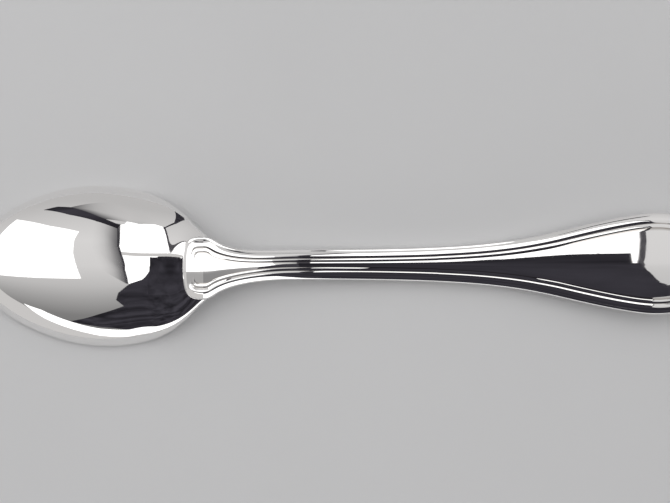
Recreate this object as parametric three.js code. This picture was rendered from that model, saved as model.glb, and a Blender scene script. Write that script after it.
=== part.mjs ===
// Demitasse spoon lying face down: a dished bowl, a handle with a double thread border, and a solder seam.
// Millimetres, +Z up, the table is z = 0. X runs along the spoon, bowl tip at -X and handle end at +X.

import * as THREE from "three";

// Overall sizes
const LENGTH = 107;
const BOWL_WIDTH = 22.93;
const BOWL_DEPTH = 5.85;
const HANDLE_END_WIDTH = 14.38;
const STEM_WIDTH = 4.11;
const HEEL_WIDTH = 8.98;

// Bowl sizes: places along the bowl are measured from its tip
const BOWL_LENGTH = 33.44;
const BOWL_WIDEST = 18.19;
const TONGUE_MARGIN = 0.02;
const TONGUE_SLOPE = -0.739;
const RIM_LIP = 0.3;
const RIM_BEVEL = 0.15;
const RIM_WIDTH = 0.72;
const BOWL_WALL = 0.95;
const RIM_RISE = 3.2;
const RIM_RISE_START = 22.5;
const HOLLOW_END_SETBACK = 1.35;
const CREST_FROM_TIP = 25.5;
const FALL_FROM_TIP = 25;
const FALL_SOFTNESS = 0.8;
const FALL_RATE = 0.0176;

// Handle sizes: the heel is measured back from the neck, the flare and the round back from the handle's end
const HEEL_LAP = 3.39;
const HEEL_WIDEST = 0.43;
const HEEL_TOP_SETBACK = 0.74;
const HEEL_TOP_STEP = 1.62;
const HEEL_END_STEP = 0.5;
const HEEL_END_SLOPE = 0.17;
const HEEL_EDGE = 0.12;
const SHOULDER_SETBACK = 0.3;
const SHOULDER_RAMP = 0.22;
const NECK_LENGTH = 11.3;
const FLARE_FROM_END = 22.66;
const FLARE_SETIN = 2.37;
const FLARE_SLOPE = 0.241;
const END_ROUND = 9.66;
const REST_PAST_MIDDLE = 1.6;
const REST_HALF_LENGTH = 2;
const REST_THICKNESS = 2.9;
const BACK_ARC_RADIUS = 185;
const FRONT_ARC_RADIUS = 140;
const FRONT_SWEEP = 1.9;

// Thread border sizes: distances are measured in from the edge of the handle
const BEAD_WIDTH = 1.28;
const BEAD_WIDTH_GAIN = 0.22;
const THREAD_EDGE = 1.76;
const THREAD_EDGE_GAIN = 0.34;
const THREAD_FLANK = 0.14;
const THREAD_ROOM = 0.28;
const WIDENING = 2.4;
const GROOVE_DEPTH = 0.12;
const FRONT_GROOVE_DEPTH = 0.06;
const GROOVE_START = 0.6;
const GROOVE_FADE = 1.6;
const BEAD_DROP = 0.08;
const BEAD_SHOULDER_DROP = 0.1;
const BEAD_FLANK_DROP = 0.28;
const EDGE_DROP = 0.6;
const CROWN_SLOPE = 0.07;
const FRONT_EDGE_DROP = 0.32;

// Solder seam sizes
const SEAM_GAP = 0.34;
const SEAM_CLEARANCE = 0.1;
const SEAM_INSET = 0.5;

// Straight run at the ends of each outline curve, as a share of that curve's own span
const TIP_PULL = 0.566;
const BOWL_FRONT_PULL = 0.436;
const BOWL_REAR_PULL = 0.691;
const TONGUE_PULL = 0.181;
const HOLLOW_REAR_PULL = 0.662;
const HOLLOW_END_PULL = 0.5;
const HEEL_END_PULL = 0.89;
const HEEL_SIDE_PULL = 0.777;
const NECK_START_PULL = 0.179;
const NECK_END_PULL = 0.904;
const STEM_START_PULL = 0.639;
const STEM_END_PULL = 0.21;
const FLARE_START_PULL = 0.74;
const FLARE_END_PULL = 0.083;
const ROUND_PULL = 0.5523;
const HEEL_RISE_PULL = 0.75;
const HEEL_TOP_PULL = 0.12;
const NECK_FALL_START_PULL = 0.0377;
const NECK_FALL_END_PULL = 0.727;

// How finely the skins are divided
const FRONT_STEPS = 16;
const REAR_STEPS = 22;
const TONGUE_STEPS = 4;
const DOME_RINGS = 10;
const HEEL_STEPS = 10;
const NECK_STEPS = 12;
const STEM_STEPS = 8;
const REAR_STEM_STEPS = 7;
const FLARE_STEPS = 7;
const END_STEPS = 12;
const SEAM_STEPS = 12;
const SEAM_RINGS = 5;
const BOWL_SPINE_START = 7;
const BOWL_SPINE_END = 2;
const HOLLOW_SPINE_END = 3;
const HEEL_SPINE_START = 2.2;

// Positions along the spoon that follow from the sizes
const xTip = -LENGTH / 2;
const xNeck = xTip + BOWL_LENGTH;
const xWidest = xTip + BOWL_WIDEST;
const xRise = xTip + RIM_RISE_START;
const xCrest = xTip + CREST_FROM_TIP;
const xFall = xTip + FALL_FROM_TIP;
const xHollowTip = xTip + RIM_WIDTH;
const xHollowEnd = xNeck - HOLLOW_END_SETBACK;
const xHeelEnd = xNeck - HEEL_LAP;
const xHeelWide = xNeck - HEEL_WIDEST;
const xHeelTop = xNeck - HEEL_TOP_SETBACK;
const xShoulder = xNeck + SHOULDER_SETBACK;
const xWaist = xNeck + NECK_LENGTH;
const xEnd = LENGTH / 2;
const xEndWide = xEnd - END_ROUND;
const xFlare = xEnd - FLARE_FROM_END;
const xRest = (xWaist + xFlare) / 2 + REST_PAST_MIDDLE;

// Half widths that follow from the sizes
const bowlHalf = BOWL_WIDTH / 2;
const hollowHalf = bowlHalf - RIM_WIDTH;
const heelHalf = HEEL_WIDTH / 2;
const tongueHalf = heelHalf + TONGUE_MARGIN;
const waistHalf = STEM_WIDTH / 2;
const endHalf = HANDLE_END_WIDTH / 2;
const flareHalf = endHalf - FLARE_SETIN;

// Small helpers
const clamp = (value, low, high) => Math.min(high, Math.max(low, value));
const mix = (a, b, t) => a + (b - a) * t;
const smooth = (t) => {
  const c = clamp(t, 0, 1);
  return c * c * (3 - 2 * c);
};
const counted = (count, make) => Array.from({ length: count }, (unused, i) => make(i));

// A cubic curve in the plane, given by its two ends and the two points that pull it
const curve = (p0, p1, p2, p3) => ({ p0, p1, p2, p3 });

// A curve with a given slope at each end
const sweep = (start, startSlope, startPull, end, endSlope, endPull) => {
  const span = end[0] - start[0];
  const first = startPull * span;
  const last = endPull * span;
  const leave = [start[0] + first, start[1] + startSlope * first];
  const arrive = [end[0] - last, end[1] - endSlope * last];
  return curve(start, leave, arrive, end);
};

// A curve that leaves the middle line square to it and ends running along the spoon
const nose = (tip, tipPull, side, sidePull) => {
  const leave = [tip[0], tip[1] + tipPull * (side[1] - tip[1])];
  const arrive = [side[0] - sidePull * (side[0] - tip[0]), side[1]];
  return curve(tip, leave, arrive, side);
};

// The same curve the other way round: along the spoon first, then square to the middle line
const tail = (side, sidePull, tip, tipPull) => {
  const leave = [side[0] + sidePull * (tip[0] - side[0]), side[1]];
  const arrive = [tip[0], tip[1] + tipPull * (side[1] - tip[1])];
  return curve(side, leave, arrive, tip);
};

// One coordinate of a curve, and a point on it
const along = (c, t, axis) => {
  const s = 1 - t;
  const near = s * s * s * c.p0[axis] + 3 * s * s * t * c.p1[axis];
  const far = 3 * s * t * t * c.p2[axis] + t * t * t * c.p3[axis];
  return near + far;
};
const pointOn = (c, t) => [along(c, t, 0), along(c, t, 1)];
const stepsOn = (c, count) => counted(count, (i) => pointOn(c, i / count));

// Height of a chain of curves at a given x, found by halving; x grows along the chain
const HALVINGS = 44;
const heightAt = (chain, x) => {
  const piece = chain.find((c) => x <= c.p3[0]) ?? chain[chain.length - 1];
  let low = 0;
  let high = 1;
  for (let step = 0; step < HALVINGS; step += 1) {
    const middle = (low + high) / 2;
    if (along(piece, middle, 0) < x) {
      low = middle;
    } else {
      high = middle;
    }
  }
  return along(piece, (low + high) / 2, 1);
};

// Plan outlines, upper half only; the lower half mirrors them
const bowlWide = [xWidest, bowlHalf];
const bowlFront = nose([xTip, 0], TIP_PULL, bowlWide, BOWL_FRONT_PULL);
const bowlRear = sweep(bowlWide, 0, BOWL_REAR_PULL, [xNeck, tongueHalf], TONGUE_SLOPE, TONGUE_PULL);
const bowlOutline = [bowlFront, bowlRear];

const hollowFront = nose([xHollowTip, 0], TIP_PULL, [xWidest, hollowHalf], BOWL_FRONT_PULL);
const hollowRear = tail([xWidest, hollowHalf], HOLLOW_REAR_PULL, [xHollowEnd, 0], HOLLOW_END_PULL);
const hollowOutline = [hollowFront, hollowRear];

const heelCurve = nose([xHeelEnd, 0], HEEL_END_PULL, [xHeelWide, heelHalf], HEEL_SIDE_PULL);
const neckCurve = sweep([xHeelWide, heelHalf], 0, NECK_START_PULL, [xWaist, waistHalf], 0, NECK_END_PULL);
const flareStart = [xFlare, flareHalf];
const endWide = [xEndWide, endHalf];
const stemCurve = sweep([xWaist, waistHalf], 0, STEM_START_PULL, flareStart, FLARE_SLOPE, STEM_END_PULL);
const flareCurve = sweep(flareStart, FLARE_SLOPE, FLARE_START_PULL, endWide, 0, FLARE_END_PULL);
const endCurve = tail(endWide, ROUND_PULL, [xEnd, 0], ROUND_PULL);
const handleOutline = [heelCurve, neckCurve, stemCurve, flareCurve, endCurve];

// Height of the bowl's rim: flat on the table, then sweeping up to the neck
const rimHeight = (x) => RIM_RISE * smooth((x - xRise) / (xNeck - xRise));

// Back of the bowl along its middle line: an ellipse from the tip, bending down past the fall to the neck
const crestHeight = (x) => {
  const reach = (x - xCrest) / (xCrest - xTip);
  const arch = (BOWL_DEPTH - RIM_LIP) * Math.sqrt(Math.max(0, 1 - reach * reach));
  const past = (x - xFall + Math.hypot(x - xFall, FALL_SOFTNESS)) / 2;
  return RIM_LIP + arch - FALL_RATE * past * past;
};

// How far across a half width a point lies, from 0 in the middle to 1 at the edge
const TINY = 1e-6;
const shareAcross = (outline, x, y) => clamp(Math.abs(y) / Math.max(TINY, heightAt(outline, x)), 0, 1);

// Back of the bowl: every cross section is half an ellipse standing on the rim
const bowlBack = (x, y) => {
  const across = shareAcross(bowlOutline, clamp(x, xTip, xNeck), y);
  const base = rimHeight(x) + RIM_LIP;
  return base + Math.max(0, crestHeight(x) - base) * Math.sqrt(1 - across * across);
};

// Hollow of the bowl: half ellipses again, running out to nothing before the neck
const bowlHollow = (x, y) => {
  const across = shareAcross(hollowOutline, clamp(x, xHollowTip, xHollowEnd), y);
  const reach = clamp((x - xCrest) / (xCrest - xHollowTip), -1, 1);
  const past = Math.max(0, x - xRise) / (xHollowEnd - xRise);
  const runOut = Math.max(0, 1 - past * past);
  const depth = (BOWL_DEPTH - BOWL_WALL) * Math.sqrt(1 - reach * reach) * runOut;
  return rimHeight(x) + depth * Math.sqrt(1 - across * across);
};

// Back of the handle along its middle line: heel top, falling neck, lowest place, rising end
const heelEndPoint = [xHeelEnd, crestHeight(xHeelEnd) + HEEL_END_STEP];
const heelTopPoint = [xHeelTop, crestHeight(xHeelTop) + HEEL_TOP_STEP];
const restPoint = [xRest, REST_THICKNESS];
const heelRise = sweep(heelEndPoint, HEEL_END_SLOPE, HEEL_RISE_PULL, heelTopPoint, 0, HEEL_TOP_PULL);
const neckFall = sweep(heelTopPoint, 0, NECK_FALL_START_PULL, restPoint, 0, NECK_FALL_END_PULL);
const handleBackLine = (x) => {
  if (x > xRest) {
    const run = x - xRest;
    return REST_THICKNESS + run * run / (2 * BACK_ARC_RADIUS);
  }
  return heightAt([heelRise, neckFall], x);
};

// Front of the handle along its middle line: down from the neck to a short flat rest, then up to the end
const xFlatStart = xRest - REST_HALF_LENGTH;
const xFlatEnd = xRest + REST_HALF_LENGTH;
const handleFrontLine = (x) => {
  if (x < xFlatStart) {
    const left = clamp((xFlatStart - x) / (xFlatStart - xShoulder), 0, 1);
    return RIM_RISE * Math.pow(left, FRONT_SWEEP);
  }
  const run = Math.max(0, x - xFlatEnd);
  return run * run / (2 * FRONT_ARC_RADIUS);
};

// Join rings of points into one closed skin; the first and last rings are folded flat on the middle line
const skin = (rings) => {
  const count = rings[0].length;
  const index = [];
  const same = (a, b) => a.every((value, axis) => Math.abs(value - b[axis]) < TINY);
  const addTriangle = (ids) => {
    const [a, b, c] = ids.map((id) => rings[Math.floor(id / count)][id % count]);
    if (!same(a, b) && !same(b, c) && !same(c, a)) {
      index.push(...ids);
    }
  };
  for (let ring = 0; ring + 1 < rings.length; ring += 1) {
    for (let side = 0; side < count; side += 1) {
      const next = (side + 1) % count;
      const a = ring * count + side;
      const b = ring * count + next;
      addTriangle([a, b, a + count]);
      addTriangle([b, b + count, a + count]);
    }
  }
  const geometry = new THREE.BufferGeometry();
  geometry.setAttribute("position", new THREE.Float32BufferAttribute(rings.flat(2), 3));
  geometry.setIndex(index);
  geometry.computeVertexNormals();
  return geometry;
};

// Mirror a half row of plan points into a closed loop: out along +Y, back along -Y
const loop = (half) => {
  const back = half.slice(1, -1).reverse().map((p) => ({ ...p, y: -p.y, mirrored: true }));
  return [...half, ...back];
};

// Bowl: rings run from the middle of the back, out over the rim and in to the middle of the hollow
const bowlGeometry = () => {
  const tongueEnd = counted(TONGUE_STEPS + 1, (i) => [xNeck, tongueHalf * (1 - i / TONGUE_STEPS)]);
  const outer = [...stepsOn(bowlFront, FRONT_STEPS), ...stepsOn(bowlRear, REAR_STEPS), ...tongueEnd];
  const innerRearSteps = REAR_STEPS + TONGUE_STEPS;
  const innerRear = counted(innerRearSteps + 1, (i) => pointOn(hollowRear, i / innerRearSteps));
  const inner = [...stepsOn(hollowFront, FRONT_STEPS), ...innerRear];
  const half = outer.map(([x, y], i) => {
    const share = (x - xTip) / BOWL_LENGTH;
    return { x, y, innerX: inner[i][0], innerY: inner[i][1], share };
  });
  const columns = loop(half).map((p) => ({ ...p, innerY: p.mirrored ? -p.innerY : p.innerY }));
  const backSpine = (p) => mix(xTip + BOWL_SPINE_START, xNeck - BOWL_SPINE_END, p.share);
  const hollowSpine = (p) => mix(xHollowTip + BOWL_SPINE_START, xHollowEnd - HOLLOW_SPINE_END, p.share);
  const domeReach = (k) => Math.sin(k / DOME_RINGS * Math.PI / 2);

  const backRing = (k) => columns.map((p) => {
    const x = mix(backSpine(p), p.x, domeReach(k));
    const y = p.y * domeReach(k);
    return [x, y, bowlBack(x, y)];
  });
  const bevelRing = columns.map((p) => {
    const inward = backSpine(p) - p.x;
    const share = RIM_BEVEL / Math.hypot(inward, p.y);
    const x = p.x + inward * share;
    return [x, p.y * (1 - share), rimHeight(x)];
  });
  const landRing = columns.map((p) => {
    const x = (p.x + p.innerX) / 2;
    return [x, (p.y + p.innerY) / 2, rimHeight(x)];
  });
  const hollowRing = (k) => columns.map((p) => {
    const x = mix(hollowSpine(p), p.innerX, domeReach(k));
    const y = p.innerY * domeReach(k);
    return [x, y, k === DOME_RINGS ? rimHeight(x) : bowlHollow(x, y)];
  });
  const back = counted(DOME_RINGS + 1, backRing);
  const hollow = counted(DOME_RINGS + 1, (k) => hollowRing(DOME_RINGS - k));
  return skin([...back, bevelRing, landRing, ...hollow]);
};

// Plan points round the handle, each with the point on the middle line that it shrinks to
const stationsBetween = (from, to, count) => counted(count, (i) => mix(from, to, i / count));

const handleColumns = () => {
  const heelPoints = stepsOn(heelCurve, HEEL_STEPS).map(([x, y], i) => {
    const spine = mix(xHeelEnd + HEEL_SPINE_START, xHeelWide, i / HEEL_STEPS);
    return { x, y, spine };
  });
  const stations = [
    xHeelWide,
    xShoulder - SHOULDER_RAMP,
    ...stationsBetween(xShoulder, xWaist, NECK_STEPS),
    ...stationsBetween(xWaist, xFlatStart, STEM_STEPS),
    xFlatStart,
    xRest,
    ...stationsBetween(xFlatEnd, xFlare, REAR_STEM_STEPS),
    ...stationsBetween(xFlare, xEndWide, FLARE_STEPS),
  ];
  const sidePoints = stations.map((x) => ({ x, y: heightAt(handleOutline, x), spine: x }));
  const focus = (END_ROUND * END_ROUND - endHalf * endHalf) / END_ROUND;
  const endPoints = counted(END_STEPS, (i) => {
    const turn = i / END_STEPS * Math.PI / 2;
    const forward = Math.sin(turn);
    const x = xEndWide + END_ROUND * forward;
    return { x, y: endHalf * Math.cos(turn), spine: xEndWide + focus * forward };
  });
  const lastPoint = { x: xEnd, y: 0, spine: xEndWide + focus };
  return loop([...heelPoints, ...sidePoints, ...endPoints, lastPoint]);
};

// Distance from each plan point to its spine point, measured square to the outline
const squareDepths = (columns) => columns.map((p, i) => {
  const count = columns.length;
  const before = columns[(i + count - 1) % count];
  const after = columns[(i + 1) % count];
  const tangentX = after.x - before.x;
  const tangentY = after.y - before.y;
  const inwardX = p.spine - p.x;
  return Math.abs(inwardX * tangentY + p.y * tangentX) / Math.hypot(tangentX, tangentY);
});

// Underside of the handle: over the bowl's back as far as the shoulder, then the front line
const overBowl = (x) => x < xShoulder - SHOULDER_RAMP / 2;
const handleFloor = (x, y) => (overBowl(x) ? bowlBack(x, y) + SEAM_GAP : handleFrontLine(x));

// Handle: rings run from the middle of the back, over the threads and the edge, in to the middle of the front
const handleGeometry = () => {
  const columns = handleColumns();
  const depths = squareDepths(columns);
  const borders = columns.map((p, i) => {
    const depth = depths[i];
    const widen = clamp((depth - waistHalf) / WIDENING, 0, 1);
    const fullThread = THREAD_EDGE + THREAD_EDGE_GAIN * widen;
    const squeeze = Math.min(1, depth / (fullThread + THREAD_ROOM));
    const bead = (BEAD_WIDTH + BEAD_WIDTH_GAIN * widen) * squeeze;
    const thread = fullThread * squeeze;
    const flank = Math.min(thread + THREAD_FLANK, mix(thread, depth, 0.3));
    const fade = smooth((p.x - xHeelEnd - GROOVE_START) / GROOVE_FADE);
    const crown = CROWN_SLOPE * Math.max(0, depth - thread);
    return { depth, bead, thread, flank, fade, crown };
  });

  // A ring lies some distance in from the edge; place turns that distance into a plan point
  const place = (p, i, inset) => {
    const share = clamp(inset / depths[i], 0, 1);
    return [mix(p.x, p.spine, share), p.y * (1 - share)];
  };
  const backRing = (pick) => columns.map((p, i) => {
    const { inset, drop } = pick(borders[i]);
    const [x, y] = place(p, i, inset);
    return [x, y, Math.max(handleBackLine(x) - drop, handleFloor(x, y) + HEEL_EDGE)];
  });
  const frontRing = (pick) => columns.map((p, i) => {
    const { inset, rise } = pick(borders[i]);
    const [x, y] = place(p, i, inset);
    return [x, y, handleFloor(x, y) + (overBowl(x) ? 0 : rise)];
  });

  const back = [
    ({ depth }) => ({ inset: depth, drop: 0 }),
    ({ depth, thread, crown }) => ({ inset: mix(thread, depth, 0.5), drop: crown * 0.25 }),
    ({ flank, crown }) => ({ inset: flank, drop: crown }),
    ({ thread, crown, fade }) => ({ inset: thread, drop: crown + GROOVE_DEPTH * fade }),
    ({ bead, thread, crown }) => ({ inset: mix(bead, thread, 0.5), drop: crown + BEAD_DROP / 2 }),
    ({ bead, crown, fade }) => ({ inset: bead, drop: crown + BEAD_DROP + GROOVE_DEPTH * fade }),
    ({ bead, crown }) => ({ inset: bead * 0.82, drop: crown + BEAD_DROP }),
    ({ bead, crown }) => ({ inset: bead * 0.45, drop: crown + BEAD_DROP + BEAD_SHOULDER_DROP }),
    ({ bead, crown }) => ({ inset: bead * 0.15, drop: crown + BEAD_DROP + BEAD_FLANK_DROP }),
    ({ crown }) => ({ inset: 0, drop: crown + EDGE_DROP }),
  ];
  const front = [
    () => ({ inset: 0, rise: FRONT_EDGE_DROP }),
    ({ bead }) => ({ inset: bead * 0.18, rise: FRONT_EDGE_DROP * 0.35 }),
    ({ bead }) => ({ inset: bead * 0.45, rise: 0 }),
    ({ bead }) => ({ inset: bead * 0.9, rise: 0 }),
    ({ bead }) => ({ inset: bead, rise: FRONT_GROOVE_DEPTH }),
    ({ bead, thread }) => ({ inset: mix(bead, thread, 0.5), rise: 0 }),
    ({ thread }) => ({ inset: thread, rise: FRONT_GROOVE_DEPTH }),
    ({ flank }) => ({ inset: flank, rise: 0 }),
    ({ depth }) => ({ inset: depth, rise: 0 }),
  ];
  return skin([...back.map(backRing), ...front.map(frontRing)]);
};

// Solder seam: a thin film that fills the lap between the heel and the back of the bowl
const seamGeometry = () => {
  const start = xHeelEnd + SEAM_INSET;
  const end = xNeck - SEAM_INSET / 2;
  const upper = counted(SEAM_STEPS + 1, (i) => {
    const x = mix(start, end, i / SEAM_STEPS);
    return { x, y: heightAt(handleOutline, x) - SEAM_INSET };
  });
  const columns = loop([{ x: start, y: 0 }, ...upper, { x: end, y: 0 }]);
  const film = (k, lift) => columns.map((p) => {
    const y = p.y * Math.sin(k / SEAM_RINGS * Math.PI / 2);
    return [p.x, y, bowlBack(p.x, y) + lift];
  });
  const top = counted(SEAM_RINGS + 1, (k) => film(k, SEAM_GAP - SEAM_CLEARANCE));
  const bottom = counted(SEAM_RINGS + 1, (k) => film(SEAM_RINGS - k, SEAM_CLEARANCE));
  return skin([...top, ...bottom]);
};

const silver = new THREE.MeshStandardMaterial({ color: 0xdcdcdf, roughness: 0.08, metalness: 1 });
silver.name = "polished_silver";
const solder = new THREE.MeshStandardMaterial({ color: 0xcfcdca, roughness: 0.22, metalness: 1 });
solder.name = "hard_solder";

const piece = (name, geometry, material) => {
  const mesh = new THREE.Mesh(geometry, material);
  mesh.name = name;
  return mesh;
};

const spoon = new THREE.Group();
spoon.name = "demitasse_spoon";
spoon.add(piece("bowl", bowlGeometry(), silver));
spoon.add(piece("handle", handleGeometry(), silver));
spoon.add(piece("solder_seam", seamGeometry(), solder));

export default spoon;
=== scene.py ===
"""Polished silver demitasse spoon lying face down: its fine surfaces and finish on the packed frame."""

import math

import bpy
import numpy as np
from bpy.props import FloatProperty, FloatVectorProperty, PointerProperty
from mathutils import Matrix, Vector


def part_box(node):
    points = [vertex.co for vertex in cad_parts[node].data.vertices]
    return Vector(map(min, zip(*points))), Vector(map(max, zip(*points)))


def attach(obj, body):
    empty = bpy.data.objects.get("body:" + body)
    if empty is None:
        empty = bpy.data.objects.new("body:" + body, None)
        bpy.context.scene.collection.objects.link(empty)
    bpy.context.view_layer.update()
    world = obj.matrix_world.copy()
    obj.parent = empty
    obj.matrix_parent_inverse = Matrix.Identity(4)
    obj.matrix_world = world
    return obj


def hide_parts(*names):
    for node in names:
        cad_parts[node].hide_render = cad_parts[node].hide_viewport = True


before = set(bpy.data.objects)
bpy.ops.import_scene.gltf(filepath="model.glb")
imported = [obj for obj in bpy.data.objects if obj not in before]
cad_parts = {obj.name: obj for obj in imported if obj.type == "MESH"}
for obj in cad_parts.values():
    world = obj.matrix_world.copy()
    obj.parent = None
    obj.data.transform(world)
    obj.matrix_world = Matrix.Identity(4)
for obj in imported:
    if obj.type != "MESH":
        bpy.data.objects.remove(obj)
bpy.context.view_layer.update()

bl_info = {
    "name": "Demitasse spoon",
    "version": (1, 0, 0),
    "blender": (4, 5, 0),
    "location": "3D View > Sidebar > Spoon",
    "description": "Makes the bowl, handle and solder seam of a silver demitasse spoon, and its stage",
    "category": "Add Mesh",
}

MM = 0.001
QUARTER_TURN = np.pi / 2.0

# Ends of the packed solids, which the fine surfaces keep to
BOWL_LOW, BOWL_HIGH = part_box("bowl")
HANDLE_LOW, HANDLE_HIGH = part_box("handle")
X_TIP = BOWL_LOW.x
X_NECK = BOWL_HIGH.x
X_HEEL_END = HANDLE_LOW.x
X_END = HANDLE_HIGH.x
BOWL_HALF = BOWL_HIGH.y
END_HALF = HANDLE_HIGH.y

# Straight run at the ends of each curve, as a share of that curve's own span
TIP_PULL = 0.566
BOWL_FRONT_PULL = 0.436
BOWL_REAR_PULL = 0.691
TONGUE_PULL = 0.181
HOLLOW_REAR_PULL = 0.662
HOLLOW_END_PULL = 0.5
HEEL_END_PULL = 0.89
HEEL_SIDE_PULL = 0.777
NECK_START_PULL = 0.179
NECK_END_PULL = 0.904
STEM_START_PULL = 0.639
STEM_END_PULL = 0.21
FLARE_START_PULL = 0.74
FLARE_END_PULL = 0.083
ROUND_PULL = 0.5523
HEEL_RISE_PULL = 0.4
HEEL_TOP_PULL = 0.4
NECK_FALL_START_PULL = 0.1115
NECK_FALL_END_PULL = 0.612

# Slopes where two curves join
TONGUE_SLOPE = -0.739
FLARE_SLOPE = 0.241
HEEL_END_SLOPE = 0.16
HEEL_TOP_SLOPE = 0.145
NECK_FALL_SLOPE = -0.264

# Share of the field's half width over which its crown is round
CROWN_ROUND = 0.5

# Power of the bead's turn from the outer groove to the edge
BEAD_POWER = 0.7

# Sideways wander of the hand finished middle line, in millimetres: its size at the tip, and then for each
# change the place where it begins, the length over which it eases in, and the new size
WANDER_AT_TIP = 0.38
WANDER_CHANGES = [(-53.5, 32.0, -0.26), (-20.0, 13.0, 0.21), (14.0, 39.5, 0.38)]

# Half width that stands in for none at the tips of the outlines
LEAST_HALF = 0.001 * MM

# How far in from their own ends the middle lines of the bowl's back and hollow begin and stop
SPINE_SETBACK = 7.0 * MM
BACK_SPINE_STOP = 2.0 * MM
HOLLOW_SPINE_STOP = 3.0 * MM

# Solder film: its distance in from the heel's edge, and its distance from the metal above and below
FILM_INSET = 0.5 * MM
FILM_CLEARANCE = 0.1 * MM

# Reach of the tarnish to each side of a groove
TARNISH_REACH = 0.06 * MM

# Fine scratches: the angles of the two sets, how far they are drawn out on each metal, and their depth
HAIRLINE_TURNS = (0.35, -0.6)
SILVER_STRETCH = 30.0
SOLDER_STRETCH = 8.0
HAIRLINE_DEPTH = 0.01 * MM

# Roughness that the solder has over the silver
SOLDER_DULLNESS = 0.15

# Places of the colour sockets of a Mix node, whose names repeat
MIX_FACTOR = 0
MIX_FIRST = 6
MIX_SECOND = 7
MIX_RESULT = 2

# Paper: half the side of the sheet, its distance under the spoon, and the depth of its tooth
PAPER_REACH = 2500.0 * MM
PAPER_UNDER = 0.02 * MM
PAPER_TOOTH = 0.05 * MM

# Greys of the studio walls from the front, over the top, to the back, and how warm they are
WALL_GREYS = [
    (0.0, 0.16), (0.18, 0.22), (0.25, 0.315), (0.3, 0.385), (0.38, 0.52), (0.5, 0.66), (0.65, 0.7),
    (0.82, 0.59), (0.95, 0.5), (1.0, 0.5),
]
WALL_WARMTH = 0.99

# Colours of the studio's cards
PANEL_WHITE = (1.0, 1.0, 1.0)
CARD_GREY = (0.6, 0.59, 0.585)
FRAME_BLACK = (0.075, 0.072, 0.08)
SHADE_BLACK = (0.035, 0.033, 0.04)
CLOTH_DARK = (0.017, 0.016, 0.02)
CLOTH_PALE = (0.058, 0.055, 0.068)

# Cover of a soft shade from its clear side to its dark side
SHADE_COVERS = [
    (0.0, 0.0), (0.15, 0.03), (0.3, 0.08), (0.48, 0.2), (0.63, 0.39), (0.79, 0.66), (1.0, 0.95),
]

# Heights of the level studio cards over the table, in millimetres
PANEL_HEIGHT = 800.0
PANEL_FRAME_HEIGHT = 796.0
FRAME_SHADE_HEIGHT = 797.0
BAR_HEIGHT = 150.0
NEAR_HEIGHT = 420.0
BACK_SHADE_HEIGHT = 250.0
SLIP_HEIGHT = 100.0
HOOD_HEIGHT = 365.0
CLOTH_HEIGHT = 460.0

# Places of the upright studio cards across the spoon, in millimetres
LOW_PANEL_PLACE = -600.0
LOW_WALL_PLACE = -605.0
LOW_CORNER_PLACE = 1400.0

# Width of the dark frame at the left of the upper panel, in millimetres
LEFT_FRAME_WIDTH = 5

# How finely the surfaces are divided
CURVE_SAMPLES = 4000
BOWL_FRONT_COLUMNS = 90
BOWL_REAR_COLUMNS = 120
TONGUE_COLUMNS = 16
DOME_RINGS = 64
LIP_RINGS = 6
LAND_RINGS = 3
HOLLOW_RINGS = 40
HEEL_COLUMNS = 120
NECK_COLUMNS = 90
STEM_COLUMNS = 100
FLARE_COLUMNS = 60
END_COLUMNS = 70
FIELD_RINGS = 12
THREAD_RINGS = 12
BEAD_RINGS = 20
ROLL_RINGS = 9
SIDE_RINGS = 3
SEAM_COLUMNS = 60
SEAM_RINGS = 12


def number(name, value, description):
    """A plain number."""
    return FloatProperty(name=name, description=description, default=value)


def length(name, millimetres, description):
    """A size kept in metres, with its default given in millimetres."""
    metres = millimetres * MM
    return FloatProperty(name=name, description=description, default=metres, unit="LENGTH", precision=5)


def turn(name, degrees, description):
    """An angle kept in radians, with its default given in degrees."""
    radians = math.radians(degrees)
    return FloatProperty(name=name, description=description, default=radians, subtype="ANGLE")


def share(name, value, description):
    """A number from 0 to 1."""
    return FloatProperty(
        name=name, description=description, default=value, min=0.0, max=1.0, subtype="FACTOR"
    )


def colour(name, value, description):
    """A colour with red, green and blue from 0 to 1."""
    return FloatVectorProperty(
        name=name, description=description, default=value, min=0.0, max=1.0, subtype="COLOR"
    )


class BowlSizes(bpy.types.PropertyGroup):
    """Sizes of the bowl, measured from its tip where they are places along it."""

    widest: length("Widest place", 18.19, "Distance from the tip to the widest place")
    depth: length("Depth", 5.85, "Height of the back over the table")
    lip: length("Lip", 0.3, "Upright height of the rim's outer edge")
    bevel: length("Lip round", 0.15, "How far the rim's outer edge rounds in")
    rim_width: length("Rim width", 0.72, "Width of the flat land round the hollow")
    wall: length("Wall", 0.95, "Thickness of the metal at the deepest place")
    rim_rise: length("Rim rise", 3.2, "How far the rim sweeps up to the neck")
    rim_rise_start: length("Rim rise start", 22.5, "From the tip to where the rim leaves the table")
    crest: length("Crest", 25.5, "Distance from the tip to the top of the arch along the back")
    fall_start: length("Fall start", 25.0, "From the tip to where the back bends down to the neck")
    fall_softness: length("Fall softness", 0.8, "Length over which that bend begins")
    fall_rate: number("Fall rate", 17.6, "How quickly the back bends down, per metre")
    hollow_setback: length("Hollow setback", 1.35, "Distance from the end of the hollow to the neck")
    tongue_margin: length("Tongue margin", 0.02, "How far the tongue stands out past the heel")
    fillet_width: length("Fillet width", 2.5, "Width of the polished fillet round the heel")
    fillet_height: length("Fillet height", 0.16, "Height of that fillet where it meets the heel")


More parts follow.
